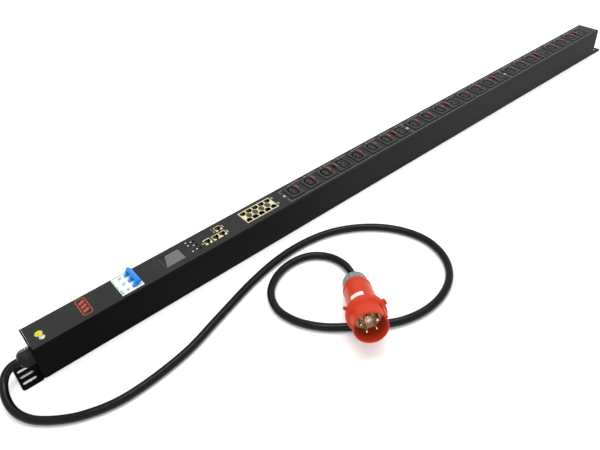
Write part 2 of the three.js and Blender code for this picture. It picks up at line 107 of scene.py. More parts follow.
PLUG_AT = (538.5, -246.0, 22.2)
PLUG_AZIMUTH, PLUG_ELEVATION = -122.4, 17.4
PLUG_LENGTH, COLLAR = 168.0, 118.0  # COLLAR is where the shroud begins
PIN_CIRCLE, PIN_TURN, EARTH_PIN = 15.4, -24.0, 2

outlets = []
for group in range(GROUPS):
    start = FIRST_OUTLET + group * GROUP_PITCH
    outlets += [(start + i * C13_PITCH, C13, group) for i in range(3)]
    outlets.append((start + C19_OFFSET, C19, group))


# ---- camera ------------------------------------------------------------------
CAMERA_AT = (-0.86365, -0.85317, 0.86007)  # metres
CAMERA_AZIMUTH, CAMERA_ELEVATION, CAMERA_ROLL = 35.271, 40.243, -5.988
CAMERA_LENS, CAMERA_SENSOR = 36.21, 36.0


def make_camera():
    azimuth, elevation, roll = (math.radians(a) for a in (CAMERA_AZIMUTH, CAMERA_ELEVATION, CAMERA_ROLL))
    level = math.cos(elevation)
    forward = Vector((math.sin(azimuth) * level, math.cos(azimuth) * level, -math.sin(elevation)))
    data = bpy.data.cameras.new("camera")
    data.sensor_width = CAMERA_SENSOR
    data.lens = CAMERA_LENS
    camera = bpy.data.objects.new("camera", data)
    bpy.context.scene.collection.objects.link(camera)
    camera.rotation_mode = "QUATERNION"
    camera.rotation_quaternion = forward.to_track_quat("-Z", "Y") @ Quaternion((0, 0, 1), roll)
    camera.location = CAMERA_AT
    bpy.context.scene.camera = camera


make_camera()


# ---- materials ---------------------------------------------------------------
def linear(code):
    """The linear colour of a hex code such as 'e9e3c8'."""
    channels = [int(code[i:i + 2], 16) / 255 for i in (0, 2, 4)]
    return tuple(c / 12.92 if c <= 0.04045 else ((c + 0.055) / 1.055) ** 2.4 for c in channels)


# painted light: a surface with a far colour fades to it between these two distances along the strip
FADE_NEAR, FADE_FAR = 0.1, 1.2  # metres from the inlet end


def surface(name, code, roughness, metallic=0.0, specular=0.5, coat=0.0, grain=900.0, relief=0.03,
            mottle=0.12, uneven=0.06, patch=35.0, far_light_code=None):
    """A moulded, painted or plated surface: fine relief, and slow changes of colour and gloss.

    With a far colour code the colour also fades to that one between FADE_NEAR and FADE_FAR, a painted light
    gradient along the strip.
    """
    material = bpy.data.materials.new(name)
    material.use_nodes = True
    tree = material.node_tree
    shader = tree.nodes["Principled BSDF"]
    shader.inputs["Metallic"].default_value = metallic
    shader.inputs["Specular IOR Level"].default_value = specular
    shader.inputs["Coat Weight"].default_value = coat
    shader.inputs["Coat Roughness"].default_value = 0.08
    coordinates = tree.nodes.new("ShaderNodeTexCoord")

    def noise(scale, detail):
        node = tree.nodes.new("ShaderNodeTexNoise")
        node.inputs["Scale"].default_value = scale
        node.inputs["Detail"].default_value = detail
        tree.links.new(coordinates.outputs["Object"], node.inputs["Vector"])
        return node.outputs["Fac"]

    broad = noise(patch, 5)
    fine = noise(grain, 2)

    color = tree.nodes.new("ShaderNodeMix")
    color.data_type = "RGBA"
    base = linear(code)
    color.inputs["A"].default_value = (*[c * (1 - mottle) for c in base], 1)
    color.inputs["B"].default_value = (*[min(1, c * (1 + mottle)) for c in base], 1)
    tree.links.new(broad, color.inputs["Factor"])
    tree.links.new(color.outputs["Result"], shader.inputs["Base Color"])
    # painted light: the colour fades along x to the far colour
    if far_light_code:
        axes = tree.nodes.new("ShaderNodeSeparateXYZ")
        tree.links.new(coordinates.outputs["Object"], axes.inputs["Vector"])
        along = tree.nodes.new("ShaderNodeMapRange")
        along.inputs["From Min"].default_value = INLET_X + FADE_NEAR
        along.inputs["From Max"].default_value = INLET_X + FADE_FAR
        tree.links.new(axes.outputs["X"], along.inputs["Value"])
        fade = tree.nodes.new("ShaderNodeMix")
        fade.data_type = "RGBA"
        fade.inputs["B"].default_value = (*linear(far_light_code), 1)
        tree.links.new(along.outputs["Result"], fade.inputs["Factor"])
        tree.links.new(color.outputs["Result"], fade.inputs["A"])
        tree.links.new(fade.outputs["Result"], shader.inputs["Base Color"])

    gloss = tree.nodes.new("ShaderNodeMapRange")
    gloss.inputs["To Min"].default_value = max(0.02, roughness - uneven)
    gloss.inputs["To Max"].default_value = min(1.0, roughness + uneven)
    tree.links.new(broad, gloss.inputs["Value"])
    tree.links.new(gloss.outputs["Result"], shader.inputs["Roughness"])

    bump = tree.nodes.new("ShaderNodeBump")
    bump.inputs["Strength"].default_value = 0.6
    bump.inputs["Distance"].default_value = relief * MM
    tree.links.new(fine, bump.inputs["Height"])
    tree.links.new(bump.outputs["Normal"], shader.inputs["Normal"])
    return material


PAINT = surface("powder_coat", "222221", 0.5, specular=0.13, grain=1300, relief=0.05, mottle=0.1, patch=9)
# painted shade: the side copy of the powder coat is much darker than the top's, and its far colour adds
# painted light that lightens it towards the far end
SHADED_SIDE_PAINT = surface("powder_coat_shaded_side", "060606", 0.5, specular=0.03, grain=1300, relief=0.05, patch=9,
                     far_light_code="2a2a2a")
NYLON = surface("black_nylon", "0f0f11", 0.36, specular=0.14, grain=700, relief=0.05)
RUBBER = surface("cord_rubber", "080808", 0.17, specular=0.15, grain=420, relief=0.03, mottle=0.25,
                 uneven=0.05, patch=60)
WHITE = surface("breaker_plastic", "ccd1d2", 0.38, specular=0.3, grain=1500, relief=0.02, mottle=0.03)
BLUE = surface("toggle_blue", "0576c8", 0.36, specular=0.25, grain=1500, relief=0.03, mottle=0.08)
BUTTON = surface("button_black", "040405", 0.5, specular=0.05, grain=1500, relief=0.02)
GLASS = surface("display_glass", "121213", 0.12, specular=0.25, grain=200, relief=0.004, uneven=0.02)
SCREEN = surface("display_screen", "5b5a58", 0.3, specular=0.2, grain=2500, relief=0.01, mottle=0.06,
                 uneven=0.04, patch=60)
BOARD = surface("circuit_board", "1f5b35", 0.45, grain=1200, relief=0.05, mottle=0.2, patch=120)
CREAM = surface("jack_cream", "bdb595", 0.4, grain=1500, relief=0.02, mottle=0.05)
# painted shade: a dark brown for the walls inside the jack cavities
CAVITY_SHADE = surface("jack_cavity_shade", "191410", 0.6, specular=0.2, grain=1500, relief=0.03)
# a darker brown for the cross-shaped patches between the port block's columns
BROWN_PATCH = surface("jack_brown_patch", "3c332a", 0.4, specular=0.25, grain=1800, relief=0.03, mottle=0.2)
GOLD = surface("contact_gold", "c79a3d", 0.3, metallic=1.0, grain=1500, relief=0.01)
SOCKET = surface("socket_black", "2b2c2b", 0.46, specular=0.16, grain=1500, relief=0.03, mottle=0.1,
                 patch=120)
# painted shade: near black for the insides of the sockets, the tab pockets' floors and the breaker's toggle
# troughs
RECESS_SHADE = surface("recess_painted_shade", "050505", 0.6, specular=0.06, grain=1500, relief=0.02)
TAB_RED = surface("tab_red", "66120a", 0.24, coat=0.35, grain=1200, relief=0.02, mottle=0.1)
PLUG_RED = surface("plug_red", "b02f12", 0.36, specular=0.15, grain=1100, relief=0.04, mottle=0.06)
NUT_GREY = surface("nut_grey", "6f7374", 0.45, grain=1200, relief=0.05)
CARRIER = surface("pin_carrier", "dcc79a", 0.5, grain=900, relief=0.06, mottle=0.2, patch=150)
PLATED = surface("plated_metal", "cfcbc3", 0.22, metallic=1.0, grain=900, relief=0.01, mottle=0.08, patch=160)
COPPER = surface("copper", "b87444", 0.35, metallic=1.0, grain=900, relief=0.02, mottle=0.15)
INSULATION = surface("insulation", "d8d2c0", 0.5, grain=900, relief=0.03)
PRINT = surface("print_white", "c8c8c4", 0.5, grain=1800, relief=0.01, mottle=0.12, patch=300)
LINE = surface("print_grey", "85858a", 0.5, grain=1800, relief=0.01, mottle=0.12, patch=300)
PRINT_GREEN = surface("print_green", "7aa79f", 0.5, grain=1800, relief=0.01, mottle=0.12, patch=300)
PRINT_DARK = surface("print_dark", "1a1a16", 0.5, grain=1800, relief=0.01)
YELLOW = surface("label_yellow", "c8bd12", 0.35, grain=900, relief=0.02, mottle=0.06, patch=150)
ORANGE = surface("mark_orange", "9c3216", 0.5, grain=1800, relief=0.01, mottle=0.15, patch=200)
LABEL = surface("label_white", "c8c8c4", 0.4, grain=900, relief=0.02, mottle=0.04)


# ---- mesh helpers ------------------------------------------------------------
def to_object(name, bm):
    bmesh.ops.remove_doubles(bm, verts=bm.verts, dist=1e-5)
    bmesh.ops.recalc_face_normals(bm, faces=bm.faces)
    mesh = bpy.data.meshes.new(name)
    bm.to_mesh(mesh)
    bm.free()
    obj = bpy.data.objects.new(name, mesh)
    bpy.context.scene.collection.objects.link(obj)
    return obj


def prism(points, low, high, axis="Z"):
    """A flat outline, raised from low to high: (x, y) along Z, (y, z) along X, or (x, z) along Y."""
    spread = {
        "X": lambda a, b, h: (h, a, b),
        "Y": lambda a, b, h: (a, h, b),
        "Z": lambda a, b, h: (a, b, h),
    }[axis]
    bm = bmesh.new()
    rings = [[bm.verts.new(spread(a, b, h)) for a, b in points] for h in (low, high)]
    bm.faces.new(rings[0])
    bm.faces.new(rings[1])
    count = len(points)
    for i in range(count):
        j = (i + 1) % count
        bm.faces.new((rings[0][i], rings[0][j], rings[1][j], rings[1][i]))
    return to_object("prism", bm)


def block(x0, x1, y0, y1, z0, z1):
    """A box between two corners."""
    return prism([(x0, y0), (x1, y0), (x1, y1), (x0, y1)], z0, z1)


def arc(cx, cy, radius, start, end, steps=5):
    """Points on an arc, the angles in degrees."""
    angles = [math.radians(start + (end - start) * i / steps) for i in range(steps + 1)]
    return [(cx + radius * math.cos(a), cy + radius * math.sin(a)) for a in angles]


def round_box(x0, x1, y0, y1, radius, steps=5):
    """The outline of a rectangle with round corners."""
    left, right, low, high = x0 + radius, x1 - radius, y0 + radius, y1 - radius
    return (
        arc(left, low, radius, 180, 270, steps) + arc(right, low, radius, 270, 360, steps)
        + arc(right, high, radius, 0, 90, steps) + arc(left, high, radius, 90, 180, steps)
    )


def disc(cx, cy, radius, steps=24):
    return arc(cx, cy, radius, 0, 360 - 360 / steps, steps - 1)


def lathe(profile, steps=48, wave=None):
    """(radius, distance along Z) pairs turned about Z. wave(angle, z) scales the radius, for ribs."""
    bm = bmesh.new()
    closed = profile[0] == profile[-1]
    rings = []
    for radius, z in profile[:-1] if closed else profile:
        if radius == 0:
            rings.append([bm.verts.new((0, 0, z))])
            continue
        ring = []
        for i in range(steps):
            angle = 2 * math.pi * i / steps
            r = radius * (wave(angle, z) if wave else 1)
            ring.append(bm.verts.new((r * math.cos(angle), r * math.sin(angle), z)))
        rings.append(ring)
    pairs = list(zip(rings, rings[1:])) + ([(rings[-1], rings[0])] if closed else [])
    for a, b in pairs:
        for i in range(steps):
            j = (i + 1) % steps
            corners = [a[i % len(a)], a[j % len(a)], b[j % len(b)], b[i % len(b)]]
            bm.faces.new(list(dict.fromkeys(corners)))
    return to_object("lathe", bm)


def join(*objects):
    """Several meshes as one object, as they are."""
    bm = bmesh.new()
    for obj in objects:
        bm.from_mesh(obj.data)
        bpy.data.objects.remove(obj)
    mesh = bpy.data.meshes.new("joined")
    bm.to_mesh(mesh)
    bm.free()
    obj = bpy.data.objects.new("joined", mesh)
    bpy.context.scene.collection.objects.link(obj)
    return obj


def settle(obj):
    """Applies the modifiers on obj to its mesh."""
    depsgraph = bpy.context.evaluated_depsgraph_get()
    mesh = bpy.data.meshes.new_from_object(obj.evaluated_get(depsgraph))
    obj.modifiers.clear()
    obj.data = mesh
    return obj


def combine(obj, tools, operation):
    """Applies a boolean with all the tools at once, and uses them up."""
    tool = join(*tools)
    modifier = obj.modifiers.new("combine", "BOOLEAN")
    modifier.object = tool
    modifier.operation = operation
    modifier.solver = "EXACT"
    settle(obj)
    bpy.data.objects.remove(tool)
    return obj


def cut(obj, *tools):
    return combine(obj, tools, "DIFFERENCE")


def fuse(obj, *tools):
    for tool in tools:
        combine(obj, [tool], "UNION")
    return obj


def shift(obj, x=0.0, y=0.0, z=0.0):
    obj.data.transform(Matrix.Translation((x, y, z)))
    return obj


def turn(obj, degrees, axis):
    obj.data.transform(Matrix.Rotation(math.radians(degrees), 4, axis))
    return obj


def edged(obj, width, segments=2, limit=38):
    """Rounds the sharp edges of obj by width, then shades it smooth with flat faces kept flat."""
    if width:
        modifier = obj.modifiers.new("edges", "BEVEL")
        modifier.width = width
        modifier.segments = segments
        modifier.limit_method = "ANGLE"
        modifier.angle_limit = math.radians(limit)
        modifier.use_clamp_overlap = True
        settle(obj)
    obj.data.shade_smooth()
    obj.data.set_sharp_from_angle(angle=math.radians(limit))
    modifier = obj.modifiers.new("normals", "WEIGHTED_NORMAL")
    modifier.keep_sharp = True
    return settle(obj)


def paint(obj, material, where):
    """Gives the faces whose centre and normal pass where() a second material."""
    obj.data.materials.append(material)
    index = len(obj.data.materials) - 1
    for face in obj.data.polygons:
        if where(face.center, face.normal):
            face.material_index = index
    return obj


def piece(name, obj, material, body="strip", place=STRIP, replaces=()):
    """Names obj, moves it to its place in the frame, and gives it its material and body."""
    obj.name = name
    obj.data.name = name
    obj.data.transform(place)
    if not obj.data.materials:
        obj.data.materials.append(material)
    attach(obj, body)
    if replaces:
        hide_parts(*replaces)
    return obj


def first_material(obj, material):
    """Sets the main material before any face is painted with another."""
    obj.data.materials.clear()
    obj.data.materials.append(material)
    return obj


def copy_at(name, source, x, y, z, body="strip", replaces=()):
    """Another object with the mesh of source, which is in metres about its own origin."""
    obj = bpy.data.objects.new(name, source)
    bpy.context.scene.collection.objects.link(obj)
    obj.location = STRIP @ Vector((x, y, z))
    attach(obj, body)
    if replaces:
        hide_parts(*replaces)
    return obj


def as_template(obj, material):
    """The mesh of obj in metres, for copy_at; the object itself goes."""
    if not obj.data.materials:
        obj.data.materials.append(material)
    mesh = obj.data
    mesh.transform(Matrix.Scale(MM, 4))
    bpy.data.objects.remove(obj)
    return mesh


# ---- mains lead --------------------------------------------------------------
CORD_POINTS = [
    (-28.6, 0, 38.4), (-40, -0.3, 38.1), (-53.2, -5.6, 34.8), (-63.8, -17, 29), (-70.2, -33.5, 22.8),
    (-72.4, -51.5, 17), (-70, -70.5, 12), (-62, -89.5, 8.8), (-49, -108, 7.9), (-22, -132, 7.9),
    (15, -153.5, 7.9), (80, -170.5, 7.9), (205, -160.5, 7.9), (300, -131, 7.9), (400, -99.5, 7.9),
    (480, -83.5, 7.9), (550, -83, 7.9), (610, -96.5, 7.9), (662, -125.5, 7.9), (702, -165, 7.9),
    (727, -211, 7.9), (735.5, -260, 7.9), (722, -313, 7.9), (690, -353, 7.9), (645, -375.5, 7.9),
    (595, -381, 7.9), (545, -370, 7.9), (500, -343.5, 7.9), (459, -312, 7.9), (424, -278, 7.9),
    (399, -235, 7.9), (392.5, -190, 7.9), (409.5, -148, 7.9), (446, -120.5, 7.9), (490, -111.5, 7.9),
    (531, -122, 7.9), (557.5, -152, 7.9), (564, -188.3, 8.8), (555.6, -219.1, 12.3),
    (538.65, -245.75, 22.1),
]


def smooth_route(points, steps=8):
    """Centripetal Catmull-Rom curve through the points."""
    points = [Vector(p) for p in points]
    points = [2 * points[0] - points[1], *points, 2 * points[-1] - points[-2]]
    route = []
    for p0, p1, p2, p3 in zip(points, points[1:], points[2:], points[3:]):
        t1 = math.sqrt((p1 - p0).length)
        t2 = t1 + math.sqrt((p2 - p1).length)
        t3 = t2 + math.sqrt((p3 - p2).length)
        for i in range(steps):
            t = t1 + (t2 - t1) * i / steps
            a1 = p0.lerp(p1, t / t1)
            a2 = p1.lerp(p2, (t - t1) / (t2 - t1))
            a3 = p2.lerp(p3, (t - t2) / (t3 - t2))
            b1 = a1.lerp(a2, t / t2)
            b2 = a2.lerp(a3, (t - t1) / (t3 - t1))
            route.append(b1.lerp(b2, (t - t1) / (t2 - t1)))
    return [*route, points[-2]]


def make_cord():
    data = bpy.data.curves.new("mains_lead", "CURVE")
    data.dimensions = "3D"
    data.bevel_depth = CORD_DIAMETER / 2 * MM
    data.bevel_resolution = 8
    data.use_fill_caps = True
    route = [STRIP @ p for p in smooth_route(CORD_POINTS)]
    spline = data.splines.new("POLY")
    spline.points.add(len(route) - 1)
    for point, place in zip(spline.points, route):
        point.co = (*place, 1)
    spline.use_smooth = True
    cord = bpy.data.objects.new("mains_lead", data)
    bpy.context.scene.collection.objects.link(cord)
    data.materials.append(RUBBER)
    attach(cord, "strip")
    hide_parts("mains_cord")
    length = sum((b - a).length for a, b in zip(route, route[1:]))
    return cord, length, route[0]


cord, cord_length, cord_exit = make_cord()


# ---- casing ------------------------------------------------------------------
def u_fold(low, high, sign):
    """Section of a folded channel whose web is at high for sign 1 and at low for sign -1."""
    inner = HALF_WIDTH - SHEET
    web, rim = (high, low) if sign > 0 else (low, high)
    outside = arc(HALF_WIDTH - FOLD, 0, FOLD, 0, 90, 6)
    inside = arc(HALF_WIDTH - FOLD, 0, FOLD - SHEET, 90, 0, 6)
    right_out = [(y, web + sign * (z - FOLD)) for y, z in outside]
    right_in = [(y, web + sign * (z - FOLD)) for y, z in inside]
    left_out = [(-y, z) for y, z in reversed(right_out)]
    left_in = [(-y, z) for y, z in reversed(right_in)]
    return [
        (HALF_WIDTH, rim), *right_out, *left_out, (-HALF_WIDTH, rim),
        (-inner, rim), *left_in, *right_in, (inner, rim),
    ]


def window(area, near, far, front, back, radius=0.4):
    """The tool that opens the cover round an area, with the room to leave on each of its four sides."""
    x, y, length, width = area
    outline = round_box(
        x - length / 2 - near, x + length / 2 + far, y - width / 2 - front, y + width / 2 + back, radius, 3,
    )
    return prism(outline, TOP - SHEET - 1, TOP + 1)


def make_casing():
    channel = prism(u_fold(0, CHANNEL_TOP, -1), 0, LENGTH, "X")
    rail = block(BREAKER_X - 17.5, BREAKER_X + 17.5, -29, 29, SHEET - 0.1, 9)
    posts = [block(x - 3, x + 3, y - 3, y + 3, SHEET - 0.1, 51.7) for x in (270, 535) for y in (-21, 21)]
    edged(channel, 0.35)
    channel = join(channel, edged(join(rail, *posts), 0.3))
    # painted shade: the channel takes the darker side copy of the powder coat
    piece("channel_shell", channel, SHADED_SIDE_PAINT, replaces=["base_channel"])

    cover = prism(u_fold(LIP_BOTTOM, TOP, 1), 0, LENGTH, "X")
    tools = [
        window((BREAKER_X, BREAKER_Y, 45, 54), 0.4, 0.4, 0.4, 0.7),
        window(DISPLAY, 0, 0, 0, 0, 1.2),
        *[window(area, GAP, GAP, GAP, GAP) for area in (SENSOR_JACK, SERIAL_JACK, JACK_PAIR, PORT_BLOCK)],
        *[prism(disc(BUTTON_X, y, 2.8), TOP - SHEET - 1, TOP + 1) for y in BUTTON_ROWS],
    ]
    # the gap round an outlet is wide at its near, front corner and slim elsewhere
    slim, wide, edge, wide_until = 0.15, 1.6, BEZEL_WIDTH / 2, 13
    for x, kind, _ in outlets:
        near, far = x - kind["near"], x + kind["far"] + kind["tab_room"]
        notch = x + kind["notch"]
        outline = [
            (near - wide, -edge - wide), (notch, -edge - wide), (notch, -edge - slim),
            (far + slim, -edge - slim), (far + slim, edge + slim), (near - slim, edge + slim),
            (near - slim, wide_until), (near - wide, wide_until),
        ]
        tools.append(prism(outline, TOP - SHEET - 1, TOP + 1))
    cut(cover, *tools)
    first_material(cover, PAINT)
    edged(cover, 0.25)
    # painted shade: the cover's side faces take the darker side copy of the powder coat
    paint(cover, SHADED_SIDE_PAINT, lambda c, n: abs(n.y) > 0.8 and abs(c.y) > HALF_WIDTH - 0.2)
    piece("cover_shell", cover, PAINT, replaces=["front_cover"])


def make_bracket(name, node, at_far_end):
    """A folded bracket: a plate on the casing's end and a slotted foot on the floor."""
    back, bend, relief = GAP + PLATE_THICK, 1.2, 2.5
    outline = [
        (-FOOT_REACH, 0), *arc(-GAP - 3.5, 3.5, 3.5, 270, 360), (-GAP, TOP - 0.5), (-back, TOP - 0.5),
        *arc(-back - bend, FOOT_THICK + bend, bend, 360, 270), (-FOOT_REACH, FOOT_THICK),
    ]
    bracket = prism(outline, -HALF_WIDTH, HALF_WIDTH, "Y")
    corner = 5.0
    plan = prism([
        (0, -HALF_WIDTH), (0, HALF_WIDTH),
        *arc(-FOOT_REACH + corner, HALF_WIDTH - corner, corner, 90, 180),
        *arc(-FOOT_REACH + corner, -HALF_WIDTH + corner, corner, 180, 270),
    ], -1, TOP + 1)
    combine(bracket, [plan], "INTERSECT")
    near, half = -FOOT_REACH + FOOT_SLOT["start"], FOOT_SLOT["width"] / 2
    far = near + FOOT_SLOT["length"]
    slots = [prism(round_box(near, far, y - half, y + half, half - 0.01, 6), -2, FOOT_THICK + 2)
             for y in FOOT_SLOT["rows"]]
    reliefs = [
        block(-back - 4.5, -back + 0.6, *side, -2, FOOT_THICK + 1.2)
        for side in ((-HALF_WIDTH - 1, -HALF_WIDTH + relief), (HALF_WIDTH - relief, HALF_WIDTH + 1))
    ]
    cut(bracket, *slots, *reliefs)
    edged(bracket, 0.4)
    if at_far_end:
        shift(turn(bracket, 180, "Z"), LENGTH)
    # painted shade: the brackets take the darker side copy of the powder coat
    piece(name, bracket, SHADED_SIDE_PAINT, replaces=[node])


make_casing()
make_bracket("inlet_bracket", "inlet_end_bracket", False)
make_bracket("far_bracket", "far_end_bracket", True)


# ---- cable gland -------------------------------------------------------------
def along_strip(obj):
    """Lays a shape drawn along +Z from the casing outward, towards -X, at the gland's height."""
    return shift(turn(obj, -90, "Y"), z=GLAND_Z)


def make_gland():
    corner = GLAND_FLATS / math.sqrt(3)
    hexagon = arc(0, 0, corner, 0, 300, 5)
    flange = prism(hexagon, 3.6, 9.6)
    combine(flange, [lathe([(0, 3.4), (corner - 1.1, 3.4), (corner + 0.2, 4.8), (corner + 0.2, 8.2),
                            (corner - 1.3, 9.8), (0, 9.8)])], "INTERSECT")
    stem = lathe([(0, -12), (12.2, -12), (12.2, 9.8), (0, 9.8)], 36)
    locknut = prism(arc(0, 0, corner - 1.5, 0, 300, 5), -5.3, -0.3)
    body = join(edged(flange, 0.3), edged(stem, 0.3), edged(locknut, 0.4))
    piece("gland_flange", along_strip(body), NYLON, replaces=["gland_body"])

    nut = prism(hexagon, 9.9, 28.3)
    dome = lathe([
        (0, 9.7), (corner - 0.8, 9.7), (corner + 0.2, 11), (corner + 0.2, 17.5), (corner - 0.9, 20.6),
        (corner - 2.2, 22.6), (corner - 3.8, 24.8), (corner - 5.6, 26.6), (10.4, 27.9), (9.3, 28.3),
        (0, 28.3),
    ], 60)
    combine(nut, [dome], "INTERSECT")
    cut(nut, lathe([(0, 24), (8.2, 24), (8.6, 29), (0, 29)], 36))
    piece("gland_cap", along_strip(edged(nut, 0.35)), NYLON, replaces=["gland_dome_nut"])

    seal = lathe([(7.8, 24.5), (8.15, 24.5), (8.3, 27.6), (8.0, 28.2), (7.8, 28.1), (7.8, 24.5)], 36)
    washer = lathe([(12.4, 3.32), (14.6, 3.32), (14.6, 3.58), (12.4, 3.58), (12.4, 3.32)], 36)
    piece("gland_seal", along_strip(edged(join(seal, washer), 0)), RUBBER)


make_gland()


# ---- earth screw, sticker and mark -------------------------------------------
def print_on(shapes, thickness=0.12, base=TOP):
    """Thin printed shapes on the cover, from outlines in (x, y)."""
    return join(*[prism(points, base - PRINT_SINK, base + thickness) for points in shapes])


def stroke(x0, y0, x1, y1, width):
    """The outline of a straight line of some width."""
    along = Vector((x1 - x0, y1 - y0)).normalized() * width / 2
    side = Vector((-along.y, along.x))
    a, b = Vector((x0, y0)), Vector((x1, y1))
    return [tuple(a - side), tuple(b - side), tuple(b + side), tuple(a + side)]


def make_earth_point():
    head = lathe([(0, 77.9), (4.5, 77.9), (4.6, 78.3), (4.4, 79.3), (3.6, 79.8), (2.2, 80), (0, 80)], 32)
    cross = [prism(round_box(-a, a, -b, b, 0.3, 2), 78.7, 81) for a, b in ((2.4, 0.55), (0.55, 2.4))]
    for tool in cross:
        cut(head, turn(tool, 20, "Z"))
    shank = lathe([(0, 63), (2.0, 63), (2.4, 63.6), (2.4, 78), (0, 78)], 20)
    washer = lathe([(2.6, 77.02), (5.4, 77.02), (5.5, 77.2), (5.4, 77.85), (2.6, 77.85), (2.6, 77.02)], 36)
    screw = join(edged(head, 0.12), edged(shank, 0), edged(washer, 0))
    piece("earth_terminal_screw", shift(screw, SCREW_X, SCREW_Y), PLATED,
          replaces=["earth_screw"])

    x, y = STICKER_X, STICKER_Y
    sticker = prism(disc(x, y, 7, 48), TOP - PRINT_SINK, TOP + 0.14)
    piece("earth_sticker", edged(sticker, 0), YELLOW)
    ring = prism(disc(x, y, 5.9, 48), TOP + 0.1, TOP + 0.2)
    cut(ring, prism(disc(x, y, 5.45, 48), TOP, TOP + 1))
    bars = [(x - 0.2 - 1.5 * i, 3.4 - 1.1 * i) for i in range(3)]
    lines = [stroke(bar_x, y - half, bar_x, y + half, 0.55) for bar_x, half in bars]
    symbol = join(ring, print_on([*lines, stroke(x - 0.2, y, x + 4.2, y, 0.55)], 0.2))
    piece("earth_symbol", edged(symbol, 0), PRINT_DARK)


def make_mark():
    """A plain badge: a capsule outline with three slanting bars in it."""
    x0, x1, y0, y1, border = 98.0, 117.5, -21.5, 26.0, 1.6
    badge = prism(round_box(x0, x1, y0, y1, 6, 8), TOP - PRINT_SINK, TOP + 0.12)
    hollow = round_box(x0 + border, x1 - border, y0 + border, y1 - border, 4.6, 8)
    cut(badge, prism(hollow, TOP - 1, TOP + 1))
    bars = []
    for i in range(3):
        y = y0 + 8.2 + i * 11.4
        bars.append([(x0 + 4, y - 1), (x0 + 4, y + 5.6), (x1 - 4, y + 9.6), (x1 - 4, y + 3)])
    piece("cover_mark", edged(join(badge, print_on(bars)), 0), ORANGE)


make_earth_point()
make_mark()


# ---- breaker -----------------------------------------------------------------
def make_breaker():
    floor, shoulder, foot, nose, half_pole, half_trough = 9.3, 52.0, 39.0, 22.5, 8.92, 3.75
    section = [
        (-foot, floor), (foot, floor), (foot, shoulder), (nose, shoulder + 4), (nose, TOP), (-nose, TOP),
        (-nose, shoulder + 4), (-foot, shoulder),
    ]
    trough = [(x, PIVOT_Z + z) for x, z in (
        (-12, 7.5), (-7.2, 2.4), (-7.2, -9), (7.2, -9), (7.2, 2.4), (12, 7.5),
    )]
    poles = []
    for y in POLES_Y:
        pole = prism(section, y - half_pole, y + half_pole, "Y")
        cut(pole, prism(trough, y - half_trough, y + half_trough, "Y"))
        poles.append(edged(pole, 0.45, 3))
    case = first_material(join(*poles), WHITE)
    # painted shade: the floor and low walls of each toggle trough are near black
    paint(case, RECESS_SHADE, lambda c, n: PIVOT_Z - 10 < c.z < PIVOT_Z - 6 and abs(c.x) < 11.4)
    piece("breaker_poles", shift(case, BREAKER_X, BREAKER_Y), WHITE,
          replaces=["breaker_case"])

    bands = []
    near = -21.6
    for y, width, depth in ((-17.6, 14.0, 4.4), (-1.5, 12.5, 2.2), (16, 14.0, 2.0)):
        bands.append(round_box(near, near + depth, y - width / 2, y + width / 2, 0.6, 2))
    marks = shift(edged(print_on(bands, 0.08), 0), BREAKER_X, BREAKER_Y)
    piece("breaker_print", marks, PRINT_GREEN)


def make_handle():
    """Three levers on one bar, drawn upright about the pivot and then leaned towards the far end."""
    place = STRIP @ Matrix.Translation((BREAKER_X, BREAKER_Y, PIVOT_Z)) @ Matrix.Rotation(
        math.radians(HANDLE_LEAN), 4, "Y")
    tooth = [(-3.1, 5.6), (3.1, 5.6), (3.3, 12), (4.4, 21), (-5, 21), (-5, 16.2), (-3.1, 13)]
    half_tooth = 3.6
    levers, drums = [], []
    for y in POLES_Y:
        levers.append(edged(prism(tooth, y - half_tooth, y + half_tooth, "Y"), 0.8, 3))
        drum = lathe([(0, -3.5), (6.85, -3.5), (6.85, 3.5), (0, 3.5)], 40)
        drums.append(shift(edged(turn(drum, 90, "X"), 0.4), y=y))
    grip = [(x, 25.5 - 0.45 * (k % 2)) for k, x in enumerate((2.4, 1.2, 0.0, -1.2, -2.4))]
    bar_section = [
        *arc(-3.7, 20.3, 1.3, 180, 270, 4), *arc(3.7, 20.3, 1.3, 270, 360, 4),
        *arc(3.2, 23.7, 1.8, 0, 90, 4), *grip, *arc(-3.2, 23.7, 1.8, 90, 180, 4),
    ]
    end = POLE_PITCH + 4.5
    bar = prism(bar_section, -end, end, "Y")
    handle = join(*levers, edged(bar, 0.5, 3))
    piece("toggle_handle", handle, BLUE, "breaker_toggle", place, ["breaker_handle"])
    piece("toggle_drums", join(*drums), WHITE, "breaker_toggle", place, ["breaker_handle"])


make_breaker()
make_handle()


# ---- display and buttons -----------------------------------------------------
def make_display():
    """A window let into the cover, with a slanted-off screen and a thin lighter line behind its face: the
    screen's slant is a painted reflection edge that leaves a dark corner of glass at the near end, and the
    thin line is a painted highlight.
    """
    x, y, length, width = DISPLAY
    under, face = TOP - SHEET - GAP, TOP - 0.8
    near, far = x - length / 2, x + length / 2
    front, back = y - width / 2, y + width / 2
    rim = 3
    flange = prism(round_box(near - rim, far + rim, front - rim, back + rim, 1, 3), under - 8, under)
    lens = prism(round_box(near + GAP, far - GAP, front + GAP, back - GAP, 1, 3), under - 0.5, face)
    pane = edged(fuse(flange, lens), 0.25)
    piece("display_pane", pane, GLASS, replaces=["display_window"])
    # painted reflection: the slanted near edge of the grey screen draws where a reflection ends
    screen = prism([
        (near + 2.2, front + 1.2), (far - 1.4, front + 1.2), (far - 1.4, back - 1.2), (near + 14, back - 1.2),
    ], face - PRINT_SINK, face + 0.06)
    piece("display_screen", edged(screen, 0), SCREEN)
    # painted highlight: a thin lighter line along the window's near edge
    line = block(near + 0.7, near + 1.2, front + 0.7, back - 0.7, face - PRINT_SINK, face + 0.12)
    piece("display_edge_highlight", edged(line, 0), SCREEN)


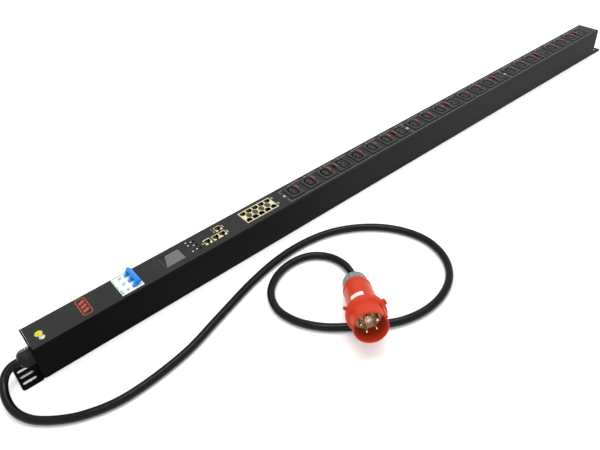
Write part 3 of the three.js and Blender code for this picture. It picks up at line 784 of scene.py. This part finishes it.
def make_buttons():
    cap = lathe([
        (0, -8), (4.1, -8), (4.1, -3.4), (3.9, -3.2), (2.5, -3.1),
        (2.5, 0.4), (2.2, 0.75), (1.5, 0.9), (0, 0.95),
    ], 32)
    template = as_template(edged(cap, 0.1), BUTTON)
    for row, y in enumerate(BUTTON_ROWS, 1):
        node = f"menu_button_{row}"
        copy_at(f"push_button_{row}", template, BUTTON_X, y, TOP, node, [node])


make_display()
make_buttons()


# ---- data jacks --------------------------------------------------------------
def jack_mouth(x, y, side, reach):
    """The cavity of a jack, whose latch keyway runs out to reach on the given side."""
    mouth = [
        (-6.5, -5.2), (6.5, -5.2), (6.5, 3.6), (3.7, 3.6), (3.7, 5.6), (2, 5.6), (2, reach),
        (-2, reach), (-2, 5.6), (-3.7, 5.6), (-3.7, 3.6), (-6.5, 3.6),
    ]
    return prism([(x + side * u, y + side * (v - 1)) for u, v in mouth], JACK_TOP - 14, JACK_TOP + 1)


def contact_wires(x, y, side):
    """Eight sprung wires that slope down from the wall opposite the latch."""
    pitch, half_wire = 1.02, 0.2
    low, high = JACK_TOP - 9.5, JACK_TOP - 3.2
    wall, tip = y - side * 6, y - side * 2.2
    section = [
        (wall, high), (wall + side * 0.35, high + 0.3), (tip + side * 0.3, low + 0.2), (tip, low - 0.2),
    ]
    middles = [x + (i - 3.5) * pitch for i in range(8)]
    return [prism(section, middle - half_wire, middle + half_wire, "X") for middle in middles]


def make_jack(name, node, area, cavities, reach):
    """A housing over area with a cavity at each (x, y, side) from its middle, and the wires in them."""
    x, y, length, width = area
    housing = block(x - length / 2, x + length / 2, y - width / 2, y + width / 2, JACK_BOTTOM, JACK_TOP)
    cut(housing, *[jack_mouth(x + u, y + v, side, reach) for u, v, side in cavities])
    first_material(housing, CREAM)
    edged(housing, 0.22)

    def inside(centre, normal):
        return centre.z < JACK_TOP - 0.5 and any(
            abs(centre.x - x - u) < 6.8 and abs(centre.y - y - v) < 10.2 for u, v, _ in cavities
        ) and abs(centre.x - x) < length / 2 - 0.3 and abs(centre.y - y) < width / 2 - 0.3

    # painted shade: the cavity walls below the top face are darkened
    paint(housing, CAVITY_SHADE, inside)
    piece(name, housing, CREAM, replaces=[node])
    wires = join(*[w for u, v, side in cavities for w in contact_wires(x + u, y + v, side)])
    piece(f"{name}_contacts", edged(wires, 0), GOLD)


def make_jacks():
    open_side, closed_side = 10.0, 6.2
    make_jack("sensor_port", "sensor_jack", SENSOR_JACK, [(0, 0, -1)], open_side)
    make_jack("serial_port", "serial_jack", SERIAL_JACK, [(0, 0, -1)], open_side)
    make_jack("network_ports", "network_jack_pair", JACK_PAIR, [(-7.8, 0, -1), (7.8, 0, -1)], open_side)
    columns = [(i - 2) * PORT_PITCH for i in range(5)]
    rows = [(u, v, side) for u in columns for v, side in ((PORT_ROW, -1), (-PORT_ROW, 1))]
    make_jack("port_block", "port_jack_block", PORT_BLOCK, rows, closed_side)

    # a darker brown cross-shaped patch on the block between each two columns
    x, y = PORT_BLOCK[:2]
    cross = [
        (-6.0, -4.6), (-3.6, -4.6), (-3.6, -7.6), (3.6, -7.6), (3.6, -4.6), (6.0, -4.6),
        (6.0, 4.6), (3.6, 4.6), (3.6, 7.6), (-3.6, 7.6), (-3.6, 4.6), (-6.0, 4.6),
    ]
    middles = [x + (c + PORT_PITCH / 2) for c in columns[:-1]]
    brown_patches = [[(middle + a, y + b) for a, b in cross] for middle in middles]
    piece("port_brown_patches", edged(print_on(brown_patches, 0.1, JACK_TOP), 0), BROWN_PATCH)


make_jacks()


# ---- outlets -----------------------------------------------------------------
def socket_outline(length, width, rounding, corner=1.2):
    """A socket's outline with its two corners towards -X well rounded and the other two crisp."""
    far, side = length / 2, width / 2
    return [
        *arc(far - corner, -side + corner, corner, 270, 360, 4),
        *arc(far - corner, side - corner, corner, 0, 90, 4),
        *arc(-far + rounding, side - rounding, rounding, 90, 180, 4),
        *arc(-far + rounding, -side + rounding, rounding, 180, 270, 4),
    ]


def outlet_mesh(kind):
    """One outlet, about the middle of its socket and the bezel's face (z = 0)."""
    length, width, groove, rounding = (kind[k] for k in ("length", "width", "groove", "rounding"))
    half_bezel, under = BEZEL_WIDTH / 2, TOP - SHEET - GAP - BEZEL_TOP
    body = block(-17.9 if kind is C13 else -24, 17.2, -25, 25, 26.3 - BEZEL_TOP, under)
    bezel = prism(round_box(-kind["near"], kind["far"], -half_bezel, half_bezel, 1.0, 4), under - 2, 0)
    fuse(body, bezel)
    ring = prism(socket_outline(length, width, rounding), -13, 1)
    core = socket_outline(length - 2 * groove, width - 2 * groove, rounding * 0.75, 0.8)
    cut(ring, prism(core, -20, 5))
    small = [(2.2, 7.3, 4.6, 2), (2.2, -7.3, 4.6, 2), (-2.2, 0, 4.6, 2)]
    large = [(2.6, 7, 2.4, 6.8), (2.6, -7, 2.4, 6.8), (-3.6, 0, 2.4, 6.8)]
    slots = small if kind is C13 else large
    holes = [block(x - l / 2, x + l / 2, y - w / 2, y + w / 2, -12, 1) for x, y, l, w in slots]
    inner, half_tab = TAB_LENGTH / 2 + GAP, TAB_WIDTH / 2 + GAP
    low, high = (inner, inner + TAB_TRAVEL) if kind is C13 else (inner + TAB_TRAVEL, inner)
    pocket = block(kind["tab"] - low, kind["tab"] + high, TAB_Y - half_tab, TAB_Y + half_tab,
                   -TAB_DEPTH - GAP, 1)
    cut(body, ring, *holes, pocket)
    first_material(body, SOCKET)
    edged(body, 0.28, 2)
    reach = (length / 2 + 0.1, width / 2 + 0.1)

    def in_socket(centre, normal):
        return centre.z < -0.45 and abs(centre.x) < reach[0] and abs(centre.y) < reach[1]

    def pocket_floor(centre, normal):
        return -9 < centre.z < -TAB_DEPTH + 0.5 and abs(centre.x - kind["tab"]) < 5.5 and abs(normal.z) > 0.9

    # painted shade: the socket's groove walls and floor, and the tab pocket's floor, are darkened where shade
    # falls
    paint(body, RECESS_SHADE, in_socket)
    paint(body, RECESS_SHADE, pocket_floor)
    contacts = []
    for x, y, l, w in slots:
        half_length, half_width = l / 2 - 0.5, w / 2 - 0.4
        contact = block(x - half_length, x + half_length, y - half_width, y + half_width, -11.9, -3)
        contacts.append(edged(contact, 0.15))
    return as_template(body, SOCKET), as_template(join(*contacts), GOLD)


def tab_mesh():
    """A release tab with a crowned top, about its middle and the bezel's face."""
    half_length, half_width, shoulder = TAB_LENGTH / 2, TAB_WIDTH / 2, 0.35
    bm = bmesh.new()
    across, along = 10, 16
    grid = []
    for i in range(across + 1):
        u = 2 * i / across - 1
        row = []
        for j in range(along + 1):
            v = 2 * j / along - 1
            crown = (1 - abs(u) ** 2.4) ** 0.5 * (1 - abs(v) ** 3) ** 0.5
            height = shoulder + (TAB_PROUD - shoulder) * crown
            row.append(bm.verts.new((u * half_length, v * half_width, height)))
        grid.append(row)
    for i in range(across):
        for j in range(along):
            bm.faces.new((grid[i][j], grid[i + 1][j], grid[i + 1][j + 1], grid[i][j + 1]))
    rim = ([grid[i][0] for i in range(across)] + [grid[across][j] for j in range(along)]
           + [grid[i][along] for i in range(across, 0, -1)] + [grid[0][j] for j in range(along, 0, -1)])
    foot = [bm.verts.new((v.co.x, v.co.y, -TAB_DEPTH)) for v in rim]
    for i in range(len(rim)):
        j = (i + 1) % len(rim)
        bm.faces.new((rim[i], rim[j], foot[j], foot[i]))
    bm.faces.new(foot)
    return as_template(edged(to_object("tab", bm), 0, limit=50), TAB_RED)


def make_outlets():
    meshes = {"small": outlet_mesh(C13), "large": outlet_mesh(C19)}
    tab = tab_mesh()
    for number, (x, kind, group) in enumerate(outlets, 1):
        shell, contacts = meshes["small" if kind is C13 else "large"]
        copy_at(f"outlet_{number:02d}", shell, x, 0, BEZEL_TOP,
                replaces=[f"outlet_bank_{group + 1}"])
        copy_at(f"outlet_{number:02d}_contacts", contacts, x, 0, BEZEL_TOP)
        copy_at(f"outlet_{number:02d}_release", tab, x + kind["tab"], TAB_Y, BEZEL_TOP,
                f"release_tab_{number:02d}", [f"release_tab_{number:02d}"])


make_outlets()


# ---- printed marks -----------------------------------------------------------
def numeral(text, x, y, size):
    """A number printed on the cover, upright when the strip stands on its inlet end."""
    curve = bpy.data.curves.new("numeral", "FONT")
    curve.body = text
    curve.size = size
    curve.align_x = "CENTER"
    curve.align_y = "CENTER"
    curve.extrude = 0.07
    curve.offset = 0.12  # makes the strokes bold
    curve.resolution_u = 2
    source = bpy.data.objects.new("numeral", curve)
    bpy.context.scene.collection.objects.link(source)
    obj = settle_curve(source)
    turn(obj, -90, "Z")
    return shift(obj, x, y, TOP + 0.05)


def settle_curve(source):
    """Turns a text object into a mesh object."""
    depsgraph = bpy.context.evaluated_depsgraph_get()
    mesh = bpy.data.meshes.new_from_object(source.evaluated_get(depsgraph))
    bpy.data.objects.remove(source)
    obj = bpy.data.objects.new("numeral", mesh)
    bpy.context.scene.collection.objects.link(obj)
    return obj


def make_prints():
    lines, numbers = [], []
    for x, y in ((331.5, 19.4), (331.5, 9.2), (341, 14.8), (341, 2.3), (340.4, -11), (330.8, -11.6)):
        lines.append(disc(x, y, 1.5, 12))
    # beside the data jacks
    lines += [stroke(391.5, 16.5, 391.5, 19, 1.2), stroke(391.5, 5.5, 391.5, 10.5, 1.0)]
    lines += [stroke(414.5, 7.5, 414.5, 15, 1.2), stroke(413.5, -12.5, 413.5, -4.5, 1.4)]
    lines.append(stroke(355.5, -9.5, 355.5, -5.5, 1.4))
    for y in (13.5, -9.5):
        lines += [stroke(541.5, y - 3.4, 541.5, y - 0.6, 1.0), stroke(541.5, y + 0.6, 541.5, y + 3.4, 1.0),
                  stroke(544.2, y - 2.6, 544.2, y + 2.6, 0.9)]
    piece("cover_prints", edged(print_on(lines), 0), PRINT)

    # a frame round each bank of eight outlets, and a line and a number for each outlet
    frames = []
    bank = 2 * GROUP_PITCH
    for i in range(3):
        near = 566.0 + i * bank
        far = near + bank - 6
        frames += [stroke(near, -26, far, -26, 0.5), stroke(near, -26.2, near, -12, 0.8),
                   stroke(near, 8.5, near, 19.5, 0.8), stroke(near - 0.4, 19.5, near + 12, 19.5, 0.8)]
        numbers.append(numeral(f"0{i + 1}", near, -1.5, 8.5))
    for number, (x, kind, _) in enumerate(outlets, 1):
        frames.append(stroke(x + 11, 23.0, x + 35 - (6 if kind is C19 else 0), 23.0, 0.9))
        numbers.append(numeral(str(number), x + 4.5, 22.6, 4.6))
    piece("cover_frames", edged(print_on(frames), 0), LINE)
    piece("cover_numerals", edged(join(*numbers), 0), PRINT)


make_prints()


# ---- pieces kept from the CAD ------------------------------------------------
for node, material in (("controller_board", BOARD), ("power_busbar", INSULATION), ("earth_busbar", COPPER)):
    nodes[node].data.materials.clear()
    nodes[node].data.materials.append(material)


# ---- five-pin plug -----------------------------------------------------------
PLUG = (
    STRIP @ Matrix.Translation(PLUG_AT) @ Matrix.Rotation(math.radians(PLUG_AZIMUTH), 4, "Z")
    @ Matrix.Rotation(math.radians(90 - PLUG_ELEVATION), 4, "Y")
)


def plug_piece(name, obj, material, replaces=()):
    piece(name, obj, material, place=PLUG, replaces=replaces)


def housing_radius(s):
    """Outer radius of the red handle at a distance along the plug."""
    profile = [(31, 25.5), (34, 27.4), (44, 27.6), (46, 27), (60, 27.2), (85, 28.4), (104, 30), (118, 32.5)]
    for (s0, r0), (s1, r1) in zip(profile, profile[1:]):
        if s0 <= s <= s1:
            return r0 + (r1 - r0) * (s - s0) / (s1 - s0)
    return profile[-1][1]


def make_plug_nut():
    ribs = 16

    def rib(angle, z):
        return 1 - 0.06 * (0.5 - 0.5 * math.cos(ribs * angle)) ** 0.6 * (1 if 7 < z < 25 else 0)

    nut = lathe([
        (8.2, 1), (12.4, 0), (13.4, 0.4), (22, 5), (23.6, 7), (24.6, 9), (24.6, 24), (24, 24.9), (22, 26),
        (8.2, 26), (8.2, 1),
    ], ribs * 9, rib)
    plug_piece("plug_nut", edged(nut, 0), NUT_GREY, ["plug_gland_nut"])
    seal = lathe([(7.85, 0.6), (8.15, 0.6), (8.15, 20), (7.85, 20), (7.85, 0.6)], 36)
    plug_piece("plug_cord_seal", edged(seal, 0), RUBBER)


def make_plug_handle():
    shell = [
        (8.2, 26.3), (20.5, 26.3), (20.5, 30), (24.6, 30.3), (25.6, 31), (26.8, 32.4), (27.4, 34.2),
        (27.6, 42.8), (27.3, 44.2), (26.7, 44.9), (26.9, 46.5), (27.2, 60), (28.4, 85), (30, 104),
        (32.2, 116.6), (31.8, 117.7), (8.2, 117.7), (8.2, 26.3),
    ]
    handle = first_material(edged(lathe(shell, 72), 0, limit=32), PLUG_RED)
    paint(handle, NYLON, lambda c, n: c.z < 30.2)
    plug_piece("plug_handle", handle, PLUG_RED, ["plug_housing"])

    # a blank label, bent round the upper side
    bm = bmesh.new()
    low, high, left, right = 95.0, 110.0, 178.0, 226.0
    layers = []
    for lift in (0.02, 0.22):
        grid = []
        for i in range(7):
            s = low + (high - low) * i / 6
            r = housing_radius(s) + lift
            angles = [math.radians(left + (right - left) * j / 12) for j in range(13)]
            grid.append([bm.verts.new((r * math.cos(a), r * math.sin(a), s)) for a in angles])
        layers.append(grid)
    for grid in layers:
        for i in range(6):
            for j in range(12):
                bm.faces.new((grid[i][j], grid[i + 1][j], grid[i + 1][j + 1], grid[i][j + 1]))
    edge = [(0, j) for j in range(12)] + [(i, 12) for i in range(6)]
    edge += [(6, j) for j in range(12, 0, -1)] + [(i, 0) for i in range(6, 0, -1)]
    for (i0, j0), (i1, j1) in zip(edge, edge[1:] + edge[:1]):
        bm.faces.new((layers[0][i0][j0], layers[0][i1][j1], layers[1][i1][j1], layers[1][i0][j0]))
    plug_piece("plug_label", edged(to_object("label", bm), 0, limit=60), LABEL)


def make_plug_shroud():
    inner, outer = 28.2, 31.0
    tube = lathe([
        (inner, COLLAR), (35.2, COLLAR), (36.2, COLLAR + 0.6), (36.9, COLLAR + 2), (37, COLLAR + 4),
        (36.8, COLLAR + 10), (36.2, COLLAR + 12.2), (34.6, COLLAR + 13.6), (32.4, COLLAR + 14.8),
        (outer, COLLAR + 17), (outer, PLUG_LENGTH - 1), (outer - 0.5, PLUG_LENGTH - 0.2),
        (outer - 1.2, PLUG_LENGTH), (inner + 0.6, PLUG_LENGTH), (inner + 0.1, PLUG_LENGTH - 0.7),
        (inner, COLLAR),
    ], 96)
    key = PIN_TURN + 72 * EARTH_PIN
    rib = prism(round_box(outer - 1.4, outer + 2.6, -3.4, 3.4, 1.6, 4), COLLAR + 10, PLUG_LENGTH - 2)
    knob = prism(round_box(33, 41.4, -4.8, 4.8, 3.2, 6), COLLAR + 1, COLLAR + 10)
    hook = prism(round_box(33, 43.2, -2.9, 2.9, 1.6, 4), COLLAR + 3, COLLAR + 8.6)
    cheeks = [prism(round_box(outer - 1, outer + 2.4, y - 1, y + 1, 0.8, 3), COLLAR + 12, COLLAR + 20)
              for y in (-7, 7)]
    hook_turn = 124.2
    extras = [
        turn(edged(rib, 0.9, 3), key, "Z"), turn(edged(knob, 1.2, 4), key, "Z"),
        turn(edged(hook, 0.9, 3), key + hook_turn, "Z"), *[turn(edged(c, 0.5, 2), key, "Z") for c in cheeks],
    ]
    shroud = join(edged(tube, 0, limit=45), *extras)
    plug_piece("plug_collar", shroud, PLUG_RED, ["plug_shroud"])


def make_plug_pins():
    turns = [math.radians(PIN_TURN + 72 * k) for k in range(5)]
    radius, flute_circle = 27.9, 8
    carrier = lathe([
        (0, COLLAR), (radius, COLLAR), (radius, COLLAR + 8.4), (radius - 0.6, COLLAR + 9), (0, COLLAR + 9),
    ], 64)
    hub = lathe([
        (0, COLLAR + 8), (7.2, COLLAR + 8), (6.8, COLLAR + 24), (6.2, COLLAR + 25), (0, COLLAR + 25),
    ], 32)
    flutes = []
    for a in turns:
        flute = lathe([(0, COLLAR + 10), (2.6, COLLAR + 10), (2.6, COLLAR + 27), (0, COLLAR + 27)], 20)
        flutes.append(shift(flute, flute_circle * math.cos(a), flute_circle * math.sin(a)))
    cut(hub, *flutes)
    parts = [edged(carrier, 0), edged(hub, 0.4)]
    for k, a in enumerate(turns):
        boss_radius = 5.6 if k == EARTH_PIN else 4.6
        boss = lathe([(0, COLLAR + 8.5), (boss_radius, COLLAR + 8.5), (boss_radius, COLLAR + 12.4),
                      (boss_radius - 0.5, COLLAR + 13), (0, COLLAR + 13)], 28)
        parts.append(shift(edged(boss, 0), PIN_CIRCLE * math.cos(a), PIN_CIRCLE * math.sin(a)))
    plug_piece("plug_insert", join(*parts), CARRIER, ["plug_pin_carrier"])

    screw = lathe([
        (0, COLLAR + 24.5), (3, COLLAR + 24.5), (3, COLLAR + 26), (2.4, COLLAR + 26.6), (0, COLLAR + 26.8),
    ], 24)
    cut(screw, block(-4, 4, -0.4, 0.4, COLLAR + 26, COLLAR + 28))
    plug_piece("plug_insert_screw", edged(screw, 0.1), PLATED)

    for k, (name, a) in enumerate(zip(("phase_1", "phase_2", "earth", "neutral", "phase_3"), turns)):
        thick = k == EARTH_PIN
        r = 3.5 if thick else 2.5
        tip = PLUG_LENGTH - (7 if thick else 9)
        dome = [(r * math.cos(t), tip - r + r * math.sin(t)) for t in map(math.radians, range(0, 90, 15))]
        pin = lathe([(0, COLLAR + 9.3), (r, COLLAR + 9.3), *dome, (0, tip)], 28)
        shift(pin, PIN_CIRCLE * math.cos(a), PIN_CIRCLE * math.sin(a))
        plug_piece(f"pin_{name}", edged(pin, 0, limit=60), PLATED, [f"plug_pin_{name}"])


make_plug_nut()
make_plug_handle()
make_plug_shroud()
make_plug_pins()


# ---- studio ------------------------------------------------------------------
def make_studio():
    """A white floor, an even white surround, and a broad and a narrow light overhead, all in metres."""
    bm = bmesh.new()
    size, steps = 16.0, 4
    bmesh.ops.create_grid(bm, x_segments=steps, y_segments=steps, size=size / 2)
    floor = to_object("studio_floor", bm)
    floor.data.transform(Matrix.Translation((1.0, 1.0, -0.0005)))
    floor.data.materials.append(
        surface("floor_white", "f4f4f3", 0.7, specular=0.2, grain=400, mottle=0.01, relief=0.01))

    world = bpy.data.worlds.new("studio")
    bpy.context.scene.world = world
    world.use_nodes = True
    background = world.node_tree.nodes["Background"]
    background.inputs["Color"].default_value = (1, 1, 1, 1)
    background.inputs["Strength"].default_value = 1.2

    def softbox(name, place, aim, width, height, power):
        data = bpy.data.lights.new(name, "AREA")
        data.shape = "RECTANGLE"
        data.size, data.size_y = width, height
        data.energy = power
        light = bpy.data.objects.new(name, data)
        bpy.context.scene.collection.objects.link(light)
        light.location = place
        light.rotation_euler = (Vector(aim) - Vector(place)).to_track_quat("-Z", "Y").to_euler()

    softbox("key_above", (0.1, 0.2, 3.0), (0.1, 0.1, 0), 1.5, 1.5, 22)
    softbox("tube_above", (-0.1, -0.25, 2.2), (-0.1, -0.25, 0), 2.4, 0.07, 18)


make_studio()
bpy.context.scene.view_settings.view_transform = "Standard"
